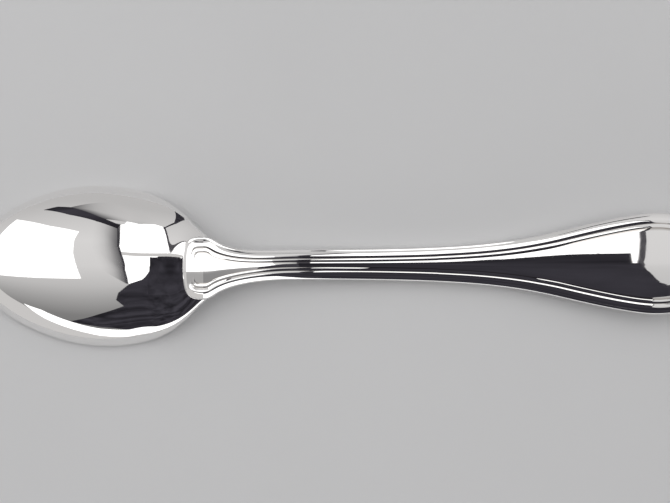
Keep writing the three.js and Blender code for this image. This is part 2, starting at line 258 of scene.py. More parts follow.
class HandleSizes(bpy.types.PropertyGroup):
    """Sizes of the handle, from the neck for the heel and from the end for the flare."""

    heel_width: length("Heel width", 8.98, "Width of the heel")
    stem_width: length("Stem width", 4.27, "Width at the narrowest place")
    heel_widest: length("Heel widest", 0.43, "From the neck back to its widest place and ridge")
    heel_top_step: length("Ridge height", 1.744, "Height of the ridge over the back of the bowl")
    heel_end_step: length("Heel end height", 0.46, "Height of the heel's end over the back of the bowl")
    neck_length: length("Neck length", 11.3, "Distance from the neck to the narrowest place")
    flare_from_end: length("Flare start", 22.66, "Distance from the end to the middle of the flare")
    flare_set_in: length("Flare set in", 2.29, "How much narrower each side is there than at the end")
    end_round: length("End round", 9.66, "Length of the rounded end")
    rest_past_middle: length("Rest place", 1.6, "From mid stem to where the handle touches the table")
    rest_half: length("Rest half length", 2.0, "Half the length of the flat that touches the table")
    rest_thickness: length("Stem thickness", 2.9, "Thickness where the handle touches the table")
    back_radius: length("Back radius", 191.0, "Radius of the back's rise to the end")
    front_radius: length("Front radius", 140.0, "Radius of the front's rise to the end")
    front_sweep: number("Front sweep", 1.9, "Power of the front's rise to the neck")
    shoulder: length("Shoulder", 0.3, "Distance past the neck where the front of the handle begins")
    shoulder_ramp: length("Shoulder ramp", 0.22, "Length of the step from the lap to the front")
    heel_spine: length("Heel spine", 2.2, "Distance from the heel's end to where its middle line begins")
    lap_gap: length("Lap gap", 0.34, "Room for solder between the heel and the bowl")
    lap_sink: length("Lap sink", 0.15, "How far the heel's edge is let into the fillet")
    least_edge: length("Least edge", 0.1, "Least thickness of the metal at the edge")


class BorderSizes(bpy.types.PropertyGroup):
    """Sizes of the double thread border, in from the handle's edge, with -Y as the near side."""

    bead: length("Bead width", 1.28, "Distance from the edge to the outer groove on the stem")
    bead_heel_gain: length("Bead gain at heel", 0.36, "Extra width of the bead on the heel")
    bead_end_gain: length("Bead gain at end", 0.22, "Extra width of the bead on the rounded end")
    thread: length("Thread edge", 1.76, "Distance from the edge to the inner groove on the stem")
    thread_heel_gain: length("Thread gain at heel", 0.5, "Extra distance to the inner groove on the heel")
    thread_end_gain: length("Thread gain at end", 0.34, "Extra distance to the inner groove on the end")
    widening: length("Widening", 2.4, "Growth of the half width over which the gains come in")
    room: length("Field room", 0.28, "Least half width of the field between the inner grooves")
    crown: number("Field crown", 0.104, "Slope that the stem's field nears at its sides")
    crown_heel: number("Heel crown", 0.156, "Slope of the heel's field beside its flat middle")
    crown_near: number("Near crown", 0.05, "Extra slope on the near side of the heel's field")
    crown_flat: share("Heel flat", 0.25, "Part of the heel's field that is flat along its middle")
    crown_soft: share("Heel flat ease", 0.05, "Part of the heel's field over which that flat bends down")
    crown_run: length("Heel crown run", 12.0, "Distance past the neck over which it changes to the stem's")
    crown_end: number("End crown", 0.05, "Slope that the wide end nears")
    crown_end_round: length("End crown round", 0.5, "Half the width over which the end's crown is round")
    crown_end_bend: number("End bend", 12.0, "How the end curves across, per metre")
    thread_tilt: turn("Thread tilt", 3.0, "Outward tilt of the inner thread's middle")
    thread_arc: turn("Thread arc", 18.0, "How far the thread's sides turn from that tilt")
    thread_tilt_end: turn("Thread tilt at end", 6.0, "The same tilt on the rounded end")
    thread_arc_end: turn("Thread arc at end", 8.0, "The same turn on the rounded end")
    thread_arc_near: turn("Near thread arc at end", 14.0, "That turn on the near side, whose tilt stays")
    worn: share("Worn thread", 0.72, "How much of its turn the near thread has lost along the stem")
    worn_start: length("Worn start", -11.5, "Place along the stem, from the rest, where that wear begins")
    worn_end: length("Worn end", 12.5, "Place along the stem, from the rest, where that wear ends")
    worn_ease: length("Worn ease", 3.0, "Length over which that wear comes and goes")
    end_run: length("End run", 25.0, "Distance past the rest over which the border changes to the end's")
    bead_inner: turn("Bead inner angle", -16.0, "Angle of the bead beside the outer groove")
    bead_turn: turn("Bead turn", 48.0, "How far the bead turns from the groove to its outer side")
    bead_inner_heel: turn("Far bead inner at heel", -26.0, "The inner angle on the far side of the heel")
    bead_turn_heel: turn("Bead turn at heel", 70.0, "The same turn on the heel")
    bead_near_outer: turn("Near bead outer", 43.0, "Outer angle that the near bead nears along the neck")
    bead_near_heel: turn("Near bead outer at heel", 37.5, "The same angle on the heel")
    bead_flank: share("Near bead flank", 0.15, "Part of the near bead before it swings over")
    bead_swing: share("Near bead swing", 0.5, "Part of the near bead over which it swings over")
    bead_near_run: length("Near bead run", 24.0, "Distance past the neck over which the near bead eases")
    bead_inner_end: turn("Far bead inner at end", -10.0, "The inner angle on the far side of the end")
    bead_outer_end: turn("Bead outer at end", 21.0, "Angle of the bead's outer side on the rounded end")
    land_share: share("Land", 0.14, "Part of the bead that is burnished flat along the far edge")
    land_tilt: turn("Land tilt", 12.0, "Tilt of that land")
    land_start: length("Land start", 5.0, "Distance past the rest where the land begins to run out")
    land_run: length("Land run", 15.0, "Distance over which the land runs out")
    roll: length("Edge roll", 0.14, "Width of the rolled outer edge on the stem")
    roll_drop: length("Edge roll drop", 0.18, "Height of the rolled outer edge on the stem")
    roll_heel: length("Heel edge roll", 0.22, "Width of the rolled outer edge on the heel")
    roll_heel_drop: length("Heel edge drop", 0.3, "Height of the rolled outer edge on the heel")
    roll_run: length("Heel roll run", 14.0, "Distance past the neck over which the heel's edge slims")
    bevel: length("Heel bevel", 0.55, "Width of the bevel at the heel's end")
    bevel_roll: length("Heel bevel roll", 0.1, "Width of the rolled edge under that bevel")
    bevel_drop: length("Heel bevel drop", 0.1, "Height of that rolled edge")
    bevel_turn: turn("Heel bevel angle", 30.0, "Angle of the bevel at the heel's end")
    bevel_ease: length("Heel bevel ease", 0.16, "Width over which the heel's back bends into that bevel")
    fade_start: length("Fade start", 3.0, "From the middle of the heel's end to where the threads begin")
    fade_length: length("Fade length", 1.6, "Length over which the threads come up to full height")
    front_share: share("Front relief", 0.5, "Height of the border on the front, as a share of the back's")


class SilverFinish(bpy.types.PropertyGroup):
    """Colours and polish of the metal."""

    silver: colour("Silver", (0.95, 0.94, 0.93), "Colour of the polished silver")
    tarnish: colour("Tarnish", (0.42, 0.39, 0.36), "Colour of the tarnish that stays in the grooves")
    solder: colour("Solder", (0.86, 0.85, 0.83), "Colour of the hard solder")
    polish: share("Polish roughness", 0.012, "Roughness of the best polished places")
    haze: share("Haze", 0.025, "Extra roughness where handling has dulled the polish")
    scratches: share("Scratches", 0.03, "Strength of the fine hairline scratches")


class StageSettings(bpy.types.PropertyGroup):
    """Stage of the spoon, with its camera, paper and studio light."""

    camera_x: length("Camera X", -1.85, "Place of the camera along the spoon")
    camera_y: length("Camera Y", 2.06, "Place of the camera across the spoon")
    camera_height: length("Camera height", 503.0, "Height of the camera over the table")
    lens: number("Lens", 188.8, "Focal length in millimetres")
    paper: colour("Paper", (0.7, 0.7, 0.705), "Colour of the pale paper under the spoon")
    panel_glow: number("Panel glow", 1.5, "Brightness of the white panels")


def smooth(value):
    """Ease from 0 to 1: three times the square less twice the cube of the value, held between 0 and 1."""
    held = np.clip(value, 0.0, 1.0)
    return held * held * (3.0 - 2.0 * held)


def mix(first, second, part):
    """The first value moved towards the second by a part of the way."""
    return first + (second - first) * part


def softened(value, softness):
    """The value above zero and zero below it, with the bend between rounded as a hyperbola."""
    return (value + np.hypot(value, softness)) / 2.0


def steps(count, end=1.0):
    """Even steps from 0 to an end value as an upright column, one for each ring."""
    return np.linspace(0.0, end, count + 1)[:, None]


def heel_part(x, run):
    """How much of the heel's form is left: 1 at the neck, eased to 0 at the end of a run past it."""
    return smooth((X_NECK + run - x) / run)


def cubic(start, leave, arrive, end):
    """A plane cubic curve from its two ends and the two points that pull it, sampled in even steps."""
    gone = np.linspace(0.0, 1.0, CURVE_SAMPLES)[:, None]
    left = 1.0 - gone
    near = left**3 * np.array(start) + 3.0 * left * left * gone * np.array(leave)
    far = 3.0 * left * gone * gone * np.array(arrive) + gone**3 * np.array(end)
    return near + far


def sweep(start, start_slope, start_pull, end, end_slope, end_pull):
    """A curve with a given slope at each end."""
    span = end[0] - start[0]
    leave = (start[0] + start_pull * span, start[1] + start_slope * start_pull * span)
    arrive = (end[0] - end_pull * span, end[1] - end_slope * end_pull * span)
    return cubic(start, leave, arrive, end)


def nose(tip, tip_pull, side, side_pull):
    """A curve that leaves the middle line square to it and ends running along the spoon."""
    leave = (tip[0], tip[1] + tip_pull * (side[1] - tip[1]))
    arrive = (side[0] - side_pull * (side[0] - tip[0]), side[1])
    return cubic(tip, leave, arrive, side)


def tail(side, side_pull, tip, tip_pull):
    """A nose the other way round: along the spoon first, then square to the middle line."""
    leave = (side[0] + side_pull * (tip[0] - side[0]), side[1])
    arrive = (tip[0], tip[1] + tip_pull * (side[1] - tip[1]))
    return cubic(side, leave, arrive, tip)


def height_on(curve, x):
    """Second coordinate of a sampled curve at given first coordinates."""
    return np.interp(x, curve[:, 0], curve[:, 1])


def points_on(curve, count, last=False):
    """Points spread over a sampled curve, with its last point only when asked for."""
    places = np.linspace(0.0, CURVE_SAMPLES - 1.0, count + 1)
    picked = curve[np.round(places).astype(int)]
    return picked if last else picked[:-1]


class SpoonShape:
    """Plan outlines of the spoon and the heights over them, all in metres."""

    def __init__(self, bowl, handle, border):
        self.bowl = bowl
        self.handle = handle
        self.border = border
        self.x_widest = X_TIP + bowl.widest
        self.x_rise = X_TIP + bowl.rim_rise_start
        self.x_crest = X_TIP + bowl.crest
        self.x_fall = X_TIP + bowl.fall_start
        self.x_hollow_tip = X_TIP + bowl.rim_width
        self.x_hollow_end = X_NECK - bowl.hollow_setback
        self.x_heel_wide = X_NECK - handle.heel_widest
        self.x_shoulder = X_NECK + handle.shoulder
        self.x_waist = X_NECK + handle.neck_length
        self.x_end_wide = X_END - handle.end_round
        self.x_flare = X_END - handle.flare_from_end
        self.x_rest = (self.x_waist + self.x_flare) / 2.0 + handle.rest_past_middle
        self.heel_half = handle.heel_width / 2.0
        self.waist_half = handle.stem_width / 2.0
        self.tongue_half = self.heel_half + bowl.tongue_margin
        self.hollow_half = BOWL_HALF - bowl.rim_width
        self.draw_bowl_outline()
        self.draw_handle_outline()
        self.draw_handle_line()

    def draw_bowl_outline(self):
        """Outline of the bowl and of its hollow: a round nose, then a sweep in to the neck."""
        wide = (self.x_widest, BOWL_HALF)
        neck = (X_NECK, self.tongue_half)
        self.bowl_front = nose((X_TIP, 0.0), TIP_PULL, wide, BOWL_FRONT_PULL)
        self.bowl_rear = sweep(wide, 0.0, BOWL_REAR_PULL, neck, TONGUE_SLOPE, TONGUE_PULL)
        self.bowl_outline = np.vstack([self.bowl_front, self.bowl_rear])
        hollow_wide = (self.x_widest, self.hollow_half)
        hollow_end = (self.x_hollow_end, 0.0)
        self.hollow_front = nose((self.x_hollow_tip, 0.0), TIP_PULL, hollow_wide, BOWL_FRONT_PULL)
        self.hollow_rear = tail(hollow_wide, HOLLOW_REAR_PULL, hollow_end, HOLLOW_END_PULL)
        self.hollow_outline = np.vstack([self.hollow_front, self.hollow_rear])

    def draw_handle_outline(self):
        """Outline of the handle: blunt heel, neck, slim stem, flare and rounded end."""
        heel = (self.x_heel_wide, self.heel_half)
        waist = (self.x_waist, self.waist_half)
        flare = (self.x_flare, END_HALF - self.handle.flare_set_in)
        wide = (self.x_end_wide, END_HALF)
        self.heel_curve = nose((X_HEEL_END, 0.0), HEEL_END_PULL, heel, HEEL_SIDE_PULL)
        neck = sweep(heel, 0.0, NECK_START_PULL, waist, 0.0, NECK_END_PULL)
        stem = sweep(waist, 0.0, STEM_START_PULL, flare, FLARE_SLOPE, STEM_END_PULL)
        flare_out = sweep(flare, FLARE_SLOPE, FLARE_START_PULL, wide, 0.0, FLARE_END_PULL)
        end = tail(wide, ROUND_PULL, (X_END, 0.0), ROUND_PULL)
        self.handle_outline = np.vstack([self.heel_curve, neck, stem, flare_out, end])

    def draw_handle_line(self):
        """Back of the handle along its middle line: rising heel, ridge, falling neck, lowest place."""
        heel_end = (X_HEEL_END, float(self.crest_height(X_HEEL_END)) + self.handle.heel_end_step)
        ridge = (self.x_heel_wide, float(self.crest_height(self.x_heel_wide)) + self.handle.heel_top_step)
        rest = (self.x_rest, self.handle.rest_thickness)
        rise = sweep(heel_end, HEEL_END_SLOPE, HEEL_RISE_PULL, ridge, HEEL_TOP_SLOPE, HEEL_TOP_PULL)
        fall = sweep(ridge, NECK_FALL_SLOPE, NECK_FALL_START_PULL, rest, 0.0, NECK_FALL_END_PULL)
        self.back_curve = np.vstack([rise, fall])

    def rim_height(self, x):
        """Height of the rim: flat on the table, then eased up to the neck."""
        return self.bowl.rim_rise * smooth((x - self.x_rise) / (X_NECK - self.x_rise))

    def crest_height(self, x):
        """Back of the bowl on its middle line: an ellipse from the tip, less a square past the fall."""
        reach = (x - self.x_crest) / (self.x_crest - X_TIP)
        arch = (self.bowl.depth - self.bowl.lip) * np.sqrt(np.maximum(0.0, 1.0 - reach * reach))
        past = softened(x - self.x_fall, self.bowl.fall_softness)
        return self.bowl.lip + arch - self.bowl.fall_rate * past * past

    def bowl_back(self, x, y):
        """Back of the bowl: half an ellipse across, standing on the rim and as high as the crest."""
        half = np.maximum(height_on(self.bowl_outline, np.clip(x, X_TIP, X_NECK)), LEAST_HALF)
        across = np.clip(np.abs(y) / half, 0.0, 1.0)
        base = self.rim_height(x) + self.bowl.lip
        return base + np.maximum(0.0, self.crest_height(x) - base) * np.sqrt(1.0 - across * across)

    def bowl_hollow(self, x, y):
        """Hollow of the bowl: half ellipses across, running out to nothing before the neck."""
        half = np.maximum(height_on(self.hollow_outline, x), LEAST_HALF)
        across = np.clip(np.abs(y) / half, 0.0, 1.0)
        reach = np.clip((x - self.x_crest) / (self.x_crest - self.x_hollow_tip), -1.0, 1.0)
        past = np.maximum(0.0, x - self.x_rise) / (self.x_hollow_end - self.x_rise)
        run_out = np.maximum(0.0, 1.0 - past * past)
        depth = (self.bowl.depth - self.bowl.wall) * np.sqrt(1.0 - reach * reach) * run_out
        return self.rim_height(x) + depth * np.sqrt(1.0 - across * across)

    def heel_fillet(self, x, y):
        """Rise of the fillet outside the heel: its height times the cube of what is left of its width."""
        outline = points_on(self.heel_curve, HEEL_COLUMNS, last=True)
        both = np.vstack([outline, outline * np.array([1.0, -1.0])])
        spread = np.hypot(x[..., None] - both[:, 0], y[..., None] - both[:, 1])
        left = np.clip(1.0 - spread.min(axis=-1) / self.bowl.fillet_width, 0.0, 1.0)
        inside = (x > X_HEEL_END) & (np.abs(y) < height_on(self.handle_outline, x))
        return self.bowl.fillet_height * np.where(inside, 1.0, left**3)

    def handle_back(self, x):
        """Back of the handle on its middle line: the drawn curve, then a parabola up to the end."""
        run = np.maximum(0.0, x - self.x_rest)
        rising = self.handle.rest_thickness + run * run / (2.0 * self.handle.back_radius)
        return np.where(x > self.x_rest, rising, height_on(self.back_curve, x))

    def handle_front(self, x):
        """Front of the handle on its middle line: a power curve down to a flat rest, then a parabola."""
        start = self.x_rest - self.handle.rest_half
        left = np.clip((start - x) / (start - self.x_shoulder), 0.0, 1.0)
        run = np.maximum(0.0, x - self.x_rest - self.handle.rest_half)
        falling = self.bowl.rim_rise * left**self.handle.front_sweep
        return falling + run * run / (2.0 * self.handle.front_radius)

    def end_part(self, x):
        """How far the stem's form has changed to the wide end's: 0 at the rest, eased to 1 past a run."""
        return smooth((x - self.x_rest) / self.border.end_run)


def drifted(rings):
    """The rings moved sideways by the slight wander of the middle line, eased from place to place."""
    x = rings[..., 0] / MM
    wander = WANDER_AT_TIP
    for start, run, size in WANDER_CHANGES:
        wander = mix(wander, size, smooth((x - start) / run))
    moved = rings.copy()
    moved[..., 1] += wander * MM
    return moved


def mirrored(half, flipped=()):
    """A half row of columns closed into a loop: the same columns back, with the named values negated."""
    back = {key: -value[-2:0:-1] if key in flipped else value[-2:0:-1] for key, value in half.items()}
    return {key: np.concatenate([value, back[key]]) for key, value in half.items()}


def mark_crease(mesh, line):
    """Mark the edges between the given points as sharp, so that no shading is eased across them."""
    ends = np.empty(2 * len(mesh.edges), dtype=np.int32)
    mesh.edges.foreach_get("vertices", ends)
    on_line = np.isin(ends.reshape(-1, 2), line).all(axis=1)
    sharp = mesh.attributes.new("sharp_edge", "BOOLEAN", "EDGE")
    sharp.data.foreach_set("value", on_line)


def skin(name, rings, masks, crease=None):
    """A closed mesh over rings of points, with the first and last rings folded flat on the middle line.

    A column and its mirror share one point of a folded ring, so no seam is left open. A crease is a column
    and a number of rings: the edges down that column, and down its mirror, are sharp over so many rings.
    """
    count = rings.shape[1]
    half = count // 2 + 1
    column = np.arange(count)
    folded = np.minimum(column, count - column)
    middle = half + np.arange((len(rings) - 2) * count).reshape(-1, count)
    last = half + (len(rings) - 2) * count + folded
    ids = np.vstack([folded[None], middle, last[None]])
    beside = np.roll(ids, -1, axis=1)
    quads = np.stack([ids[:-1], beside[:-1], beside[1:], ids[1:]], axis=-1).reshape(-1, 4)
    rings = drifted(rings)
    points = np.concatenate([rings[0, :half], rings[1:-1].reshape(-1, 3), rings[-1, :half]])
    mesh = bpy.data.meshes.new(name)
    mesh.from_pydata(points.tolist(), [], quads.tolist())
    mesh.polygons.foreach_set("use_smooth", np.ones(len(quads), dtype=bool))
    for mask_name, mask in masks.items():
        values = np.concatenate([mask[0, :half], mask[1:-1].ravel(), mask[-1, :half]])
        layer = mesh.attributes.new(mask_name, "FLOAT", "POINT")
        layer.data.foreach_set("value", values.astype(np.float32))
    if crease:
        across, depth = crease
        mark_crease(mesh, ids[:depth, [across, count - across]])
    mesh.update()
    if mesh.validate():
        raise RuntimeError(f"the surface of {name} has faces that Blender had to mend")
    piece = bpy.data.objects.new(name, mesh)
    bpy.context.scene.collection.objects.link(piece)
    return piece


def bowl_rings(shape):
    """Rings of the bowl: dome of the back, rounded lip, flat land, and the dome of the hollow."""
    bowl = shape.bowl
    tongue = np.linspace(shape.tongue_half, 0.0, TONGUE_COLUMNS + 1)
    front = points_on(shape.bowl_front, BOWL_FRONT_COLUMNS)
    rear = points_on(shape.bowl_rear, BOWL_REAR_COLUMNS)
    tongue_end = np.column_stack([np.full_like(tongue, X_NECK), tongue])
    outer = np.vstack([front, rear, tongue_end])
    inner_front = points_on(shape.hollow_front, BOWL_FRONT_COLUMNS)
    inner_rear = points_on(shape.hollow_rear, BOWL_REAR_COLUMNS + TONGUE_COLUMNS, last=True)
    inner = np.vstack([inner_front, inner_rear])
    along = (outer[:, 0] - X_TIP) / (X_NECK - X_TIP)
    inner_start = shape.x_hollow_tip + SPINE_SETBACK
    inner_stop = shape.x_hollow_end - HOLLOW_SPINE_STOP
    half = {
        "x": outer[:, 0],
        "y": outer[:, 1],
        "inner_x": inner[:, 0],
        "inner_y": inner[:, 1],
        "spine": mix(X_TIP + SPINE_SETBACK, X_NECK - BACK_SPINE_STOP, along),
        "inner_spine": mix(inner_start, inner_stop, along),
    }
    loop = mirrored(half, flipped=("y", "inner_y"))

    reach = np.sin(steps(DOME_RINGS, QUARTER_TURN))
    x = mix(loop["spine"], loop["x"], reach)
    y = loop["y"] * reach
    back = np.stack([x, y, shape.bowl_back(x, y) + shape.heel_fillet(x, y)], axis=-1)

    turned = steps(LIP_RINGS, QUARTER_TURN)[1:]
    inward = np.hypot(loop["spine"] - loop["x"], loop["y"])
    step = bowl.bevel * (1.0 - np.cos(turned)) / inward
    x = mix(loop["x"], loop["spine"], step)
    lip_height = shape.rim_height(x) + bowl.lip * (1.0 - np.sin(turned))
    lip = np.stack([x, loop["y"] * (1.0 - step), lip_height], axis=-1)

    part = steps(LAND_RINGS)[1:-1]
    x = mix(lip[-1, :, 0], loop["inner_x"], part)
    y = mix(lip[-1, :, 1], loop["inner_y"], part)
    land = np.stack([x, y, shape.rim_height(x)], axis=-1)

    reach = np.sin(steps(HOLLOW_RINGS, QUARTER_TURN))[::-1]
    x = mix(loop["inner_spine"], loop["inner_x"], reach)
    y = loop["inner_y"] * reach
    hollow = np.stack([x, y, shape.bowl_hollow(x, y)], axis=-1)
    hollow[0, :, 2] = shape.rim_height(x[0])
    return np.concatenate([back, lip, land, hollow])


def handle_columns(shape):
    """Plan points round the handle, each with the place on the middle line that it shrinks to."""
    heel = points_on(shape.heel_curve, HEEL_COLUMNS)
    heel_start = X_HEEL_END + shape.handle.heel_spine
    heel_spine = np.linspace(heel_start, shape.x_heel_wide, HEEL_COLUMNS, endpoint=False)
    stations = np.concatenate([
        np.linspace(shape.x_heel_wide, shape.x_waist, NECK_COLUMNS, endpoint=False),
        np.linspace(shape.x_waist, shape.x_flare, STEM_COLUMNS, endpoint=False),
        np.linspace(shape.x_flare, shape.x_end_wide, FLARE_COLUMNS, endpoint=False),
    ])
    round_length = X_END - shape.x_end_wide
    focus = (round_length**2 - END_HALF**2) / round_length
    forward = np.sin(np.linspace(0.0, QUARTER_TURN, END_COLUMNS + 1))
    sideways = np.sqrt(1.0 - forward * forward)
    half = {
        "x": np.concatenate([heel[:, 0], stations, shape.x_end_wide + round_length * forward]),
        "y": np.concatenate([heel[:, 1], height_on(shape.handle_outline, stations), END_HALF * sideways]),
        "spine": np.concatenate([heel_spine, stations, shape.x_end_wide + focus * forward]),
    }
    half["y"][-1] = 0.0
    return mirrored(half, flipped=("y",))


def square_depths(loop):
    """Distance from each plan point to its place on the middle line, measured square to the outline."""
    along_x = np.roll(loop["x"], -1) - np.roll(loop["x"], 1)
    along_y = np.roll(loop["y"], -1) - np.roll(loop["y"], 1)
    inward_x = loop["spine"] - loop["x"]
    return np.abs(inward_x * along_y + loop["y"] * along_x) / np.hypot(along_x, along_y)


def border_insets(shape, loop, depth):
    """Distances in from the edge of the two grooves, wider where the handle is wider."""
    border = shape.border
    widen = np.clip((depth - shape.waist_half) / border.widening, 0.0, 1.0)
    near_heel = loop["x"] < shape.x_rest
    thread = border.thread + widen * np.where(near_heel, border.thread_heel_gain, border.thread_end_gain)
    bead = border.bead + widen * np.where(near_heel, border.bead_heel_gain, border.bead_end_gain)
    squeeze = np.minimum(1.0, depth / (thread + border.room))
    return bead * squeeze, thread * squeeze


def thread_fade(shape, loop):
    """How far the threads have come up: 0 round the middle of the heel's end, eased to 1 at its sides."""
    run = np.hypot(loop["x"] - X_HEEL_END, loop["y"])
    return smooth((run - shape.border.fade_start) / shape.border.fade_length)


def thread_angles(shape, loop, middle):
    """Outward tilt of the inner thread: an even turn to both sides of its tilt, less where worn."""
    border = shape.border
    near = loop["y"] < 0.0
    end_part = shape.end_part(loop["x"])
    past_rest = loop["x"] - shape.x_rest
    come = smooth((past_rest - border.worn_start) / border.worn_ease)
    gone = smooth((past_rest - border.worn_end) / border.worn_ease)
    near_arc = mix(border.thread_arc, border.thread_arc_near, end_part)
    near_arc = near_arc * (1.0 - border.worn * (come - gone))
    far_arc = mix(border.thread_arc, border.thread_arc_end, end_part)
    far_tilt = mix(border.thread_tilt, border.thread_tilt_end, end_part)
    arc = np.where(near, near_arc, far_arc)
    tilt = np.where(near, border.thread_tilt, far_tilt)
    return tilt + arc * (2.0 * middle - 1.0)


def bead_angles(shape, loop, middle, heel_left):
    """Outward tilt of the bead: a power curve from the outer groove to the bead's outer side.

    On the near side of heel and neck it keeps its inner tilt, swings over, and keeps its outer tilt
    instead. Along the far edge of heel and stem a narrow land has one tilt.
    """
    border = shape.border
    near = loop["y"] < 0.0
    end_part = shape.end_part(loop["x"])
    bead_turn = mix(border.bead_turn, border.bead_turn_heel, heel_left)
    far_inner = mix(border.bead_inner, border.bead_inner_end, end_part)
    far_inner = mix(far_inner, border.bead_inner_heel, heel_left)
    inner = np.where(near, border.bead_inner, far_inner)
    bead_turn = mix(bead_turn, border.bead_outer_end - inner, end_part)
    angle = inner + bead_turn * middle**BEAD_POWER

    near_outer = mix(border.bead_near_outer, border.bead_near_heel, heel_left)
    swung = mix(inner, near_outer, smooth((middle - border.bead_flank) / border.bead_swing))
    angle = mix(angle, swung, near * heel_part(loop["x"], border.bead_near_run))

    past_rest = loop["x"] - shape.x_rest
    land = 1.0 - smooth((past_rest - border.land_start) / border.land_run)
    on_land = (middle > 1.0 - border.land_share) & (loop["y"] > 0.0)
    return mix(angle, border.land_tilt, land * on_land)


def border_drops(shape, loop, depth, relief):
    """Rings of the border from the middle line out to the edge: how far in they lie and how far they drop.

    The field has no drop here. Outside it the slopes of thread and bead are added up ring by ring, and at
    the heel's end they fade into a plain bevel. The edge rolls over in an ellipse. The third result says
    where the tarnish is: 1 in a groove, falling away from it as a bell curve.
    """
    border = shape.border
    bead, thread = border_insets(shape, loop, depth)
    fade = thread_fade(shape, loop)
    heel_left = heel_part(loop["x"], border.roll_run)
    roll = mix(border.bevel_roll, mix(border.roll, border.roll_heel, heel_left), fade)

    field_step = steps(FIELD_RINGS)
    thread_step = steps(THREAD_RINGS)[1:]
    bead_step = steps(BEAD_RINGS)[1:]
    field_inset = mix(depth, thread, field_step)
    inset = np.vstack([mix(thread, bead, thread_step), mix(bead, roll, bead_step)])
    inner = np.vstack([thread, inset[:-1]])

    thread_angle = thread_angles(shape, loop, thread_step - 0.5 / THREAD_RINGS)
    bead_angle = bead_angles(shape, loop, bead_step - 0.5 / BEAD_RINGS, heel_left)
    slope = relief * np.tan(np.vstack([thread_angle, bead_angle]))
    bevelled = smooth((border.bevel - (inset + inner) / 2.0) / border.bevel_ease + 0.5)
    slope = mix(np.tan(border.bevel_turn) * bevelled, slope, fade)
    drop = np.cumsum(slope * (inner - inset), axis=0)

    turned = steps(ROLL_RINGS, QUARTER_TURN)[1:]
    roll_inset = roll * (1.0 - np.sin(turned))
    roll_height = mix(border.roll_drop, border.roll_heel_drop, heel_left)
    roll_height = mix(border.bevel_drop, roll_height, fade)
    roll_drop = roll_height * (1.0 - np.cos(turned)) + drop[-1] + slope[-1] * (roll - roll_inset)

    insets = np.vstack([field_inset, inset, roll_inset])
    drops = np.vstack([np.zeros_like(field_inset), drop, roll_drop])
    to_groove = np.minimum(np.abs(insets - bead), np.abs(insets - thread))
    groove = np.exp(-((to_groove / TARNISH_REACH) ** 2)) * fade
    return insets, drops, groove


def field_crown(shape, loop, x, y):
    """Drop of the crowned field, held at the inner groove where there is one.

    On the heel it is flat along the middle and then falls at a straight slope, more on the near side. On
    the stem it is a hyperbola across the field's own width, round at the middle line and nearing a straight
    slope at the sides. On the wide end it is a hyperbola of one set width plus a parabola.
    """
    border = shape.border
    half = height_on(shape.handle_outline, np.maximum(x, shape.x_heel_wide))
    widen = np.clip((half - shape.waist_half) / border.widening, 0.0, 1.0)
    gain = np.where(x < shape.x_rest, border.thread_heel_gain, border.thread_end_gain)
    field = np.maximum(border.room, half - border.thread - widen * gain)
    across = np.abs(y) / field
    inside = np.minimum(across, 1.0)
    held = mix(across, inside, thread_fade(shape, loop))
    reach = held * field

    at_middle = softened(-border.crown_flat, border.crown_soft)
    fall = softened(held - border.crown_flat, border.crown_soft) - at_middle
    near_fall = softened(inside - border.crown_flat, border.crown_soft) - at_middle
    heel = border.crown_heel * fall + np.where(y < 0.0, border.crown_near, 0.0) * near_fall
    stem = border.crown * (np.hypot(held, CROWN_ROUND) - CROWN_ROUND)
    slim = field * mix(stem, heel, heel_part(x, border.crown_run))
    wide = border.crown_end * (np.hypot(reach, border.crown_end_round) - border.crown_end_round)
    wide = wide + border.crown_end_bend * reach * reach / 2.0
    return mix(slim, wide, shape.end_part(x))


def handle_rings(shape):
    """Rings of the handle: its back with the border, the sides, and its front with a shallower border.

    Over the bowl the front is the lap, a set gap above the bowl's back, with its edge let into the fillet.
    """
    handle = shape.handle
    loop = handle_columns(shape)
    depth = square_depths(loop)

    def place(insets):
        """Plan points that lie some distance in from the edge."""
        part = np.clip(insets / depth, 0.0, 1.0)
        return mix(loop["x"], loop["spine"], part), loop["y"] * (1.0 - part)

    insets, drops, groove = border_drops(shape, loop, depth, 1.0)
    x, y = place(insets)
    back_z = shape.handle_back(x) - field_crown(shape, loop, x, y) - drops
    back = np.stack([x, y, back_z], axis=-1)

    insets, drops, front_groove = border_drops(shape, loop, depth, shape.border.front_share)
    x, y = place(insets)
    over_bowl = smooth((shape.x_shoulder - x) / handle.shoulder_ramp)
    lap = shape.bowl_back(x, y) + handle.lap_gap
    front_z = mix(shape.handle_front(x) + np.maximum(drops, 0.0), lap, over_bowl)
    let_in = shape.bowl_back(x[-1], y[-1]) - handle.lap_sink
    front_z[-1] = mix(front_z[-1], let_in, over_bowl[-1])
    front_z = np.minimum(front_z, back_z - handle.least_edge)
    front = np.stack([x, y, front_z], axis=-1)[::-1]

    part = steps(SIDE_RINGS)[1:-1, None]
    side = mix(back[-1], front[0], part)
    rings = np.concatenate([back, side, front])
    groove_rings = np.concatenate([groove, np.zeros(side.shape[:2]), front_groove[::-1]])
    return rings, groove_rings


